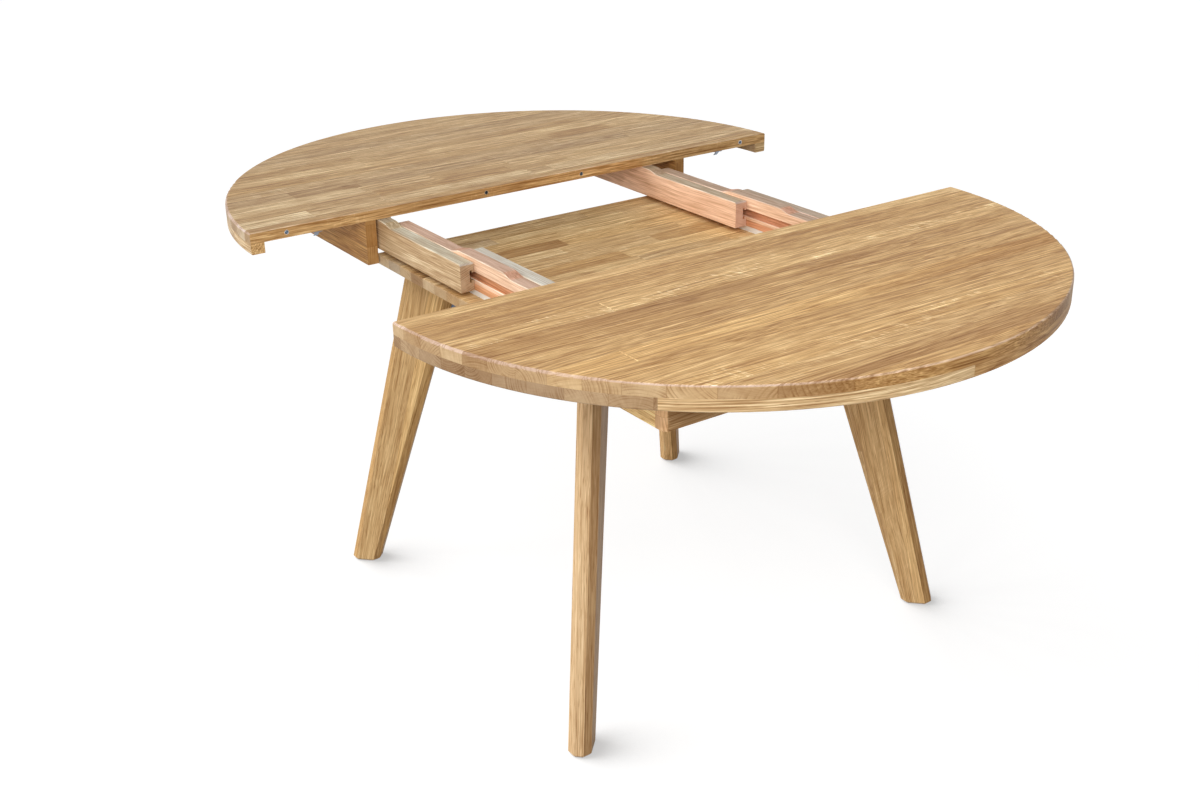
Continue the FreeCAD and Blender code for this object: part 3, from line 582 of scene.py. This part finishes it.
def band_wood(half, side, start_x, seed, colours):
    """Wood of a half's band, of four arcs; side is +1 for the near half and -1 for the far one.

    The first arc's grain lies along Y, so that it shows ends; that of the others goes round. The
    arcs are counted from the -Y end of the near band and from the +Y end of the far one."""
    def arc_number(t, place):
        """0 to 3 along the band, and the angle; the end face past the last arc has the base colour."""
        x, y, z = t.split(place)
        angle = t.math("ARCTAN2", t.mul(y, side), t.mul(x, side))
        return t.math("FLOOR", t.math("DIVIDE", t.add(angle, math.pi / 2), ARC)), angle

    def turned(t, place, normal):
        x, y, z = t.split(place)
        number, angle = arc_number(t, place)
        goes_round = t.math("GREATER_THAN", number, 0.5)
        radius = t.length(t.xyz(x, y))
        curved = t.xyz(t.mul(angle, RIM_R), t.add(radius, t.mul(number, ARC_SHIFT)), z)
        vector = t.new("ShaderNodeMix", {0: goes_round, 4: t.xyz(y, x, z), 5: curved}, data_type="VECTOR")
        return vector.outputs[1], t.mul(t.split(normal)[1], t.sub(1.0, goes_round))

    def paint(t, place, normal, base):
        number, angle = arc_number(t, place)
        colour = base
        for k, other in enumerate(colours):
            colour = t.mix(t.same(number, k), colour, other)
        return colour

    staves = random_staves(BAND_STAVE, BAND_STAVE_L, seed=seed, tones=0.8)
    return wood(half + "_band", NEAR_OAK, staves, origin=(start_x, 0, BAND_Z), turned=turned, paint=paint)


dress(band_wood("near", 1, NEAR_X, 4.0, (rgb(0.44, 0.262, 0.118), PALE_ARC, NEAR_OAK, NEAR_OAK)),
      "near_edge_band")
dress(band_wood("far", -1, FAR_X, 5.0, (FAR_OAK, FAR_OAK, FAR_OAK, rgb(0.60, 0.40, 0.21))), "far_edge_band")

# ------------------------------------------------------------------ aprons
APRON_STAVE = 0.0425
APRON_ORIGIN = (0, 0, 0.6963)     # the height sets where the glued joints come
APRON_FACE = (0.86, 0.97)     # cosine to X at which the end apron's long face begins, and is full
APRON_OAK_LIT_AND_SHADED = {                 # of the side aprons, and of the end apron's corners and long face; besides the wood's own colour, the near sides and corners are painted lighter as light, the near long face and the far aprons darker as shade
    "near": (rgb(0.87, 0.57, 0.245), rgb(0.98, 0.58, 0.26), rgb(0.38, 0.21, 0.086)),
    "far": (rgb(0.48, 0.235, 0.068), rgb(0.47, 0.24, 0.078), rgb(0.47, 0.24, 0.078))}


def apron_shade_paint(face):
    """The end apron's long face is painted darker than its rounded corners, as shade."""
    def paint(t, place, normal, base):
        return t.mix(t.step(t.math("ABSOLUTE", t.split(normal)[0]), *APRON_FACE), base, face)
    return paint


for half, (side, corner, face) in APRON_OAK_LIT_AND_SHADED.items():
    side_staves = random_staves(APRON_STAVE, seed=0.5, spread=0.0, tones=0.4)
    end_staves = random_staves(APRON_STAVE, seed=1.5, spread=0.0, tones=0.4)
    dress(wood(half + "_apron_side", side, side_staves, X, Z, Y, APRON_ORIGIN),
          half + "_apron_left", half + "_apron_right")
    dress(wood(half + "_apron_across", corner, end_staves, Y, Z, X, APRON_ORIGIN, paint=apron_shade_paint(face)),
          half + "_apron_end")

# ------------------------------------------------------------------ legs
LEG_STAVE = 0.043
LEG_LEAN = math.atan2(0.164, 0.652)     # of a leg's outer edge from the upright
LEG_FOOT_R = 0.592                      # from the base's middle
# The far right leg's colour is painted much lighter than the others, as light to make up for the shade it
# stands in.
LEG_OAK_AND_LIFT = {"near_right": rgb(0.620, 0.376, 0.165), "far_right": rgb(0.860, 0.520, 0.225),
           "far_left": rgb(0.610, 0.370, 0.155), "near_left": rgb(0.585, 0.370, 0.185)}
# Painted shade on the faces of a leg that look this way, laid on as a darker colour.
LEG_SHADE_WAY = (0.92, 0.38, 0.0)
LEG_SHADE_FACE = (0.72, 0.86)             # cosine to that way at which a face starts to show it, and is full
LEG_SHADE = rgb(0.70, 0.63, 0.55)    # times the leg's colour


def leg_shade_paint(t, place, normal, base):
    """The faces of a leg that look along +X, and between +X and +Y, are painted darker as shade."""
    there = t.step(t.dot(normal, LEG_SHADE_WAY), *LEG_SHADE_FACE)
    return t.mix(there, base, t.mix(1.0, base, LEG_SHADE, "MULTIPLY"))


for number, (corner, oak) in enumerate(LEG_OAK_AND_LIFT.items()):
    out = Vector((1 if "near" in corner else -1, 1 if "right" in corner else -1, 0)).normalized()
    grain = Z * math.cos(LEG_LEAN) - out * math.sin(LEG_LEAN)
    across = out * math.cos(LEG_LEAN) + Z * math.sin(LEG_LEAN)
    dress(wood("leg_" + corner, oak, random_staves(LEG_STAVE, spread=0.1, seed=7.0 + number, tones=0.35),
               grain, across, Z.cross(out), X * BASE_X + out * LEG_FOOT_R, paint=leg_shade_paint,
               Rays=0.25, Rings=1.3, Streaks=0.62), "leg_" + corner)

# ------------------------------------------------------------------ runners
SLOT_REACH = (0.0128, 0.0120)      # a slot's inside is nearer to the runner's middle than its faces are
SLOT_LOW, SLOT_HIGH = 0.6930, 0.7195    # heights of its lower and upper edge
SLOT_BLUR = 0.0005

# Cosines at which a face starts to take a paint, and has all of it: to the upright (UP) and, either
# way, to the slide direction.
TOP_UP, RAMP_UP = (0.80, 0.90), (0.75, 0.88)
# where a runner's painted arris highlight lies
RUNNER_HIGHLIGHT_UP, RUNNER_HIGHLIGHT_NOT_UP = (0.5, 0.6), (0.84, 0.76)
RAMP_TILT, NOT_END = (0.04, 0.16), (0.9, 0.7)

PEACH = (0.79, 0.50, 0.32)
RUNNERS = {                        # colours of its sides, top, ramps, slots and upper arrises; the slots' colour is partly painted shade, the arrises' a painted highlight
    "far_runner_left": ((0.53, 0.345, 0.180), (0.54, 0.439, 0.301), (0.509, 0.36, 0.201),
                        (0.407, 0.234, 0.1), (0.631, 0.507, 0.348)),
    "fixed_runner_left": (PEACH, (0.59, 0.371, 0.256), (0.611, 0.322, 0.201),
                          (0.672, 0.322, 0.155), (0.82, 0.63, 0.46)),
    "near_runner_left": ((0.59, 0.429, 0.292), (0.590, 0.510, 0.405), (0.529, 0.351, 0.228),
                         (0.611, 0.351, 0.183), (0.712, 0.604, 0.457)),
    "far_runner_right": ((0.763, 0.466, 0.294), (0.450, 0.325, 0.205), (0.456, 0.297, 0.179),
                         (0.668, 0.318, 0.158), (0.731, 0.541, 0.389)),
    "fixed_runner_right": (PEACH, (0.478, 0.322, 0.219), (0.631, 0.332, 0.21),
                           (0.672, 0.312, 0.165), (0.712, 0.488, 0.348)),
    "near_runner_right": ((0.611, 0.39, 0.256), (0.478, 0.351, 0.247), (0.509, 0.322, 0.201),
                          (0.611, 0.322, 0.183), (0.672, 0.448, 0.329))}


def runner_paint(middle_y, top, ramp, slot, arris, slotted_twice):
    """Colours of a runner: its top and ramps, its upper arrises painted pale as a highlight, and its slots'
    inside in a darker, fuller colour, partly the wood's own and partly painted shade.

    One with a slot in both sides has that colour below the slots too."""
    def paint(t, place, normal, base):
        x, y, z = t.split(place)
        nx, ny, nz = t.split(normal)
        tilt = t.math("ABSOLUTE", nx)
        colour = t.mix(t.step(nz, *TOP_UP), base, top)
        colour = t.mix(t.mul(t.step(tilt, *RAMP_TILT), t.step(nz, *RAMP_UP)), colour, ramp)
        # painted highlight: a pale colour on the upper arrises
        colour = t.mix(t.mul(t.step(nz, *RUNNER_HIGHLIGHT_UP), t.step(nz, *RUNNER_HIGHLIGHT_NOT_UP)), colour, arris)
        # painted shade: a darker, fuller colour inside the slots
        above = t.step(z, SLOT_LOW - SLOT_BLUR, SLOT_LOW + SLOT_BLUR)
        below = t.step(z, SLOT_HIGH + SLOT_BLUR, SLOT_HIGH - SLOT_BLUR)
        within = t.step(t.math("ABSOLUTE", t.sub(y, middle_y)), *SLOT_REACH)
        within = t.mul(t.mul(within, t.mul(above, below)), t.step(tilt, *NOT_END))
        if slotted_twice:
            within = t.math("MAXIMUM", within, t.step(z, SLOT_LOW + SLOT_BLUR, SLOT_LOW - SLOT_BLUR))
        return t.mix(within, colour, slot)
    return paint


for number, (name, colours) in enumerate(RUNNERS.items()):
    sides, top, ramp, slot, arris = [rgb(*colour) for colour in colours]
    figured = name == "far_runner_left"
    dress(wood("wood_" + name, sides, one_piece(number + 0.5), X, Z, Y,
               paint=runner_paint(middle(name).y, top, ramp, slot, arris, "fixed" in name),
               Rays=0.0, Pores=0.4, Rings=1.1 if figured else 0.6, Streaks=0.8 if figured else 0.55), name)


# ------------------------------------------------------------------ metal and strips
SHADE_LEAST, SHADE_SPREAD = 0.82, 0.36      # of a metal's mottling
FINER = 6                                   # times, from its mottling to its uneven roughness
ROUGH_SPREAD = 0.2
METAL_DEPTH, STRIP_DEPTH = 0.00005, 0.0001

STRIP_DARK, STRIP_LIGHT = rgb(0.80, 0.77, 0.70), rgb(0.90, 0.89, 0.85)
STRIP_ROUGH = 0.45
FIBRE_RATES = (30.0, 300.0)                 # along the strip, and across it


def metal(name, colour, rough, specks):
    """Metal, mottled by the given number of specks per metre."""
    material, t = blank(name)
    where = t.new("ShaderNodeTexCoord").outputs["Object"]
    mottle = t.noise(where, 3.0, 0.6, specks)
    fine = t.noise(where, 2.0, 0.5, specks * FINER)
    shade = t.grey(t.add(SHADE_LEAST, t.mul(mottle, SHADE_SPREAD)))
    return surface(t, material, t.mix(1.0, rgb(*colour), shade, "MULTIPLY"),
                   t.add(rough - ROUGH_SPREAD / 2, t.mul(fine, ROUGH_SPREAD)), mottle, METAL_DEPTH,
                   metallic=1.0)


def strip_paint():
    """White finish of the strips, a little uneven along them."""
    material, t = blank("white_strip")
    x, y, z = t.split(t.new("ShaderNodeTexCoord").outputs["Object"])
    by_along, by_across = FIBRE_RATES
    fibre = t.noise(t.xyz(t.mul(x, by_along), t.mul(y, by_across), t.mul(z, by_across)), 3.0, 0.6)
    return surface(t, material, t.mix(fibre, STRIP_DARK, STRIP_LIGHT),
                   t.add(STRIP_ROUGH, t.mul(fibre, ROUGH_SPREAD)), fibre, STRIP_DEPTH)


ZINC_NODES = [name for name in NODES if "key" in name or "leaf_clip" in name or "screws" in name]
BRACKET_NODES = [name for name in NODES if "leg_bracket" in name]
dress(metal("zinc", (0.24, 0.28, 0.34), rough=0.42, specks=160.0), *ZINC_NODES)
# The leg brackets take a much darker colour than the other zinc.
dress(metal("dark_zinc", (0.10, 0.12, 0.16), rough=0.50, specks=160.0), *BRACKET_NODES)
dress(metal("bright", (0.80, 0.86, 0.92), rough=0.32, specks=300.0),
      "far_pin_sockets", "near_dowel_pins", "bracket_pins")
dress(strip_paint(), "spacer_left", "spacer_right")

# ------------------------------------------------------------------ floor
FLOOR_R = 14.0
FLOOR_GREY = 0.52             # what the floor throws back on the table
SHADOW_GREY = 0.26            # the part of it that takes the lamps' shadows in the view
GLOW_LOW, GLOW_HIGH = 0.45, 0.86
OPEN_LOW, OPEN_HIGH = 0.50, 0.975       # openness at which the glow is at its lowest, and full
OPEN_REACH = 0.6
TO_KEY = (-0.66, -0.58, 0.48)           # roughly towards the key lamp


def seen(t):
    """1 for a ray that shows the background itself, in the view or in a reflection."""
    path = t.new("ShaderNodeLightPath").outputs
    reflected = t.math("MAXIMUM", path["Is Glossy Ray"], path["Is Transmission Ray"])
    return t.math("MAXIMUM", path["Is Camera Ray"], reflected)


def diffuse(t, level):
    return t.new("ShaderNodeBsdfDiffuse", {"Color": rgb(level, level, level)}).outputs[0]


def ground():
    """White floor that keeps shadows, and is plain grey to the light that it throws back."""
    material, t = blank("ground")
    # how open the side is that the key lamp is on, so that each foot's shadow trails away from it
    side = t.new("ShaderNodeAmbientOcclusion", {"Normal": t.xyz(*TO_KEY), "Distance": OPEN_REACH}, samples=16)
    strength = t.step(side.outputs["AO"], OPEN_LOW, OPEN_HIGH, GLOW_LOW, GLOW_HIGH)
    glow = t.new("ShaderNodeEmission", {"Strength": strength}).outputs[0]
    shown = t.new("ShaderNodeAddShader", {0: diffuse(t, SHADOW_GREY), 1: glow}).outputs[0]
    choice = t.new("ShaderNodeMixShader", {0: seen(t), 1: diffuse(t, FLOOR_GREY), 2: shown})
    t.new("ShaderNodeOutputMaterial", {"Surface": choice.outputs[0]})
    return material


def add_to_scene(name, data):
    made = bpy.data.objects.new(name, data)
    bpy.context.scene.collection.objects.link(made)
    return made


floor_mesh = bpy.data.meshes.new("floor")
bm = bmesh.new()
bmesh.ops.create_circle(bm, cap_ends=True, radius=FLOOR_R, segments=64)
bm.to_mesh(floor_mesh)
bm.free()
floor_mesh.materials.append(ground())
floor = add_to_scene("floor", floor_mesh)

# ------------------------------------------------------------------ light
SKY_LEVEL, SKY_BY_X, SKY_BY_Y = 0.30, -0.05, -0.29      # of its light, and how that changes with direction
LAMP_AIM = Vector((0.1, 0.0, 0.5))


def surround():
    """World that is seen white, and lights the table softly, most from the side that the key lamp is on."""
    world = bpy.data.worlds.new("world")
    world.use_nodes = True
    world.node_tree.nodes.clear()
    t = Tree(world.node_tree)
    x, y, z = t.split(t.new("ShaderNodeTexCoord").outputs["Generated"])
    soft = t.add(SKY_LEVEL, t.add(t.mul(y, SKY_BY_Y), t.mul(x, SKY_BY_X)))
    level = t.math("MAXIMUM", t.mul(soft, t.sub(1.0, seen(t))), seen(t))
    sky = t.new("ShaderNodeBackground", {"Color": rgb(1, 1, 1), "Strength": level})
    t.new("ShaderNodeOutputWorld", {"Surface": sky.outputs[0]})
    return world


bpy.context.scene.world = surround()


def lamp(kind, name, place, size, energy):
    """A round lamp aimed at the table; its size is in metres, or in radians for a distant one."""
    light = bpy.data.lights.new(name, kind)
    if kind == "SUN":
        light.angle = size
    else:
        light.shape = "DISK"
        light.size = size
    light.energy = energy
    made = add_to_scene(name, light)
    made.location = place
    made.rotation_euler = (LAMP_AIM - Vector(place)).to_track_quat("-Z", "Y").to_euler()


lamp("SUN", "key", (-2.9, -2.9, 3.25), size=0.85, energy=0.53 * math.pi)
lamp("AREA", "fill", (3.0, -1.9, 2.8), size=2.0, energy=73.0)
lamp("AREA", "low", (2.4, -3.2, 1.0), size=3.0, energy=22.0)

bpy.context.scene.view_settings.view_transform = "Standard"

# ------------------------------------------------------------------ camera
IMAGE_W = 1200                # pixels
FOCAL = 1458.5                # focal length in those pixels
SENSOR_W = 36.0               # millimetres
TARGET = Vector((0.0257, -0.0566, 0.3989))
DISTANCE = 2.7902
AZIMUTH, ELEVATION, ROLL = math.radians(55.49), math.radians(24.01), math.radians(-0.95)

lens = bpy.data.cameras.new("camera")
lens.sensor_width = SENSOR_W
lens.lens = FOCAL / IMAGE_W * SENSOR_W
lens.clip_end = 100.0
camera = add_to_scene("camera", lens)
bpy.context.scene.camera = camera
back = Vector((math.sin(AZIMUTH) * math.cos(ELEVATION), -math.cos(AZIMUTH) * math.cos(ELEVATION),
               math.sin(ELEVATION)))
camera.rotation_mode = "QUATERNION"
camera.location = TARGET + back * DISTANCE
level_turn = (-back).to_track_quat("-Z", "Y")
camera.rotation_quaternion = level_turn @ Matrix.Rotation(ROLL, 3, "Z").to_quaternion()
